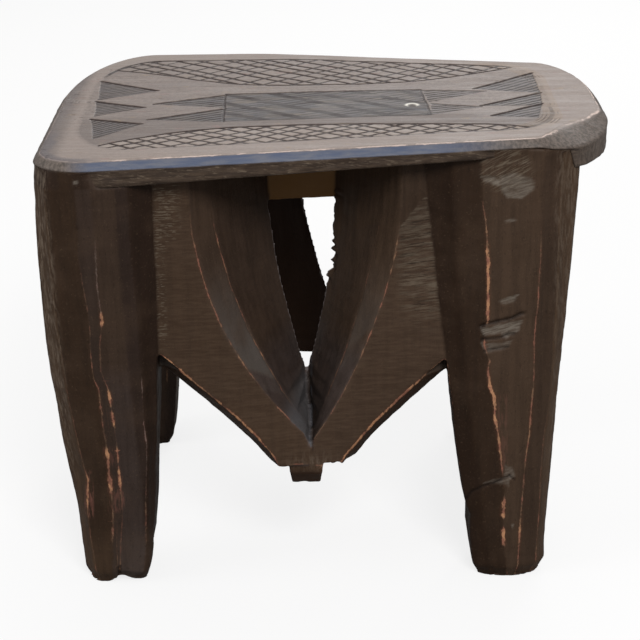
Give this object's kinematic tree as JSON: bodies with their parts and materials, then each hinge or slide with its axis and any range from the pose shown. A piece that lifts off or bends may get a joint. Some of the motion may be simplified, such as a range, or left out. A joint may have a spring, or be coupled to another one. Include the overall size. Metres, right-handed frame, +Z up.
{
  "type": "carved wooden stool",
  "caption": "Low carved wooden stool: a tapering slab seat with an incised top on splayed faceted legs, with flaring carved wings that meet in a hanging tip on each long side.",
  "frame": {"origin": "on the floor under the middle of the seat's box", "axes": "+X along the seat towards its narrower, thinner end, +Y to the back, +Z up from the feet to the top"},
  "size_m": [0.38, 0.294, 0.314],
  "materials": {
    "wood_top": "worn grey-brown top, dry and dusty, with dark incised lines",
    "wood_dark": "dark brown-black stain, semi-gloss from handling, worn through to orange-brown along the edges",
    "wood_inner": "dark, rough from the adze, matt"
  },
  "bodies": {
    "root": {"seat": "wood_top", "leg_front_left": "wood_dark", "leg_front_right": "wood_dark", "leg_rear_left": "wood_dark", "leg_rear_right": "wood_dark", "wing_front_left": "wood_dark", "wing_front_right": "wood_dark", "wing_rear_left": "wood_dark", "wing_rear_right": "wood_dark", "pendant_front": "wood_dark", "pendant_rear": "wood_dark", "core_block": "wood_inner"}
  },
  "joints": []
}
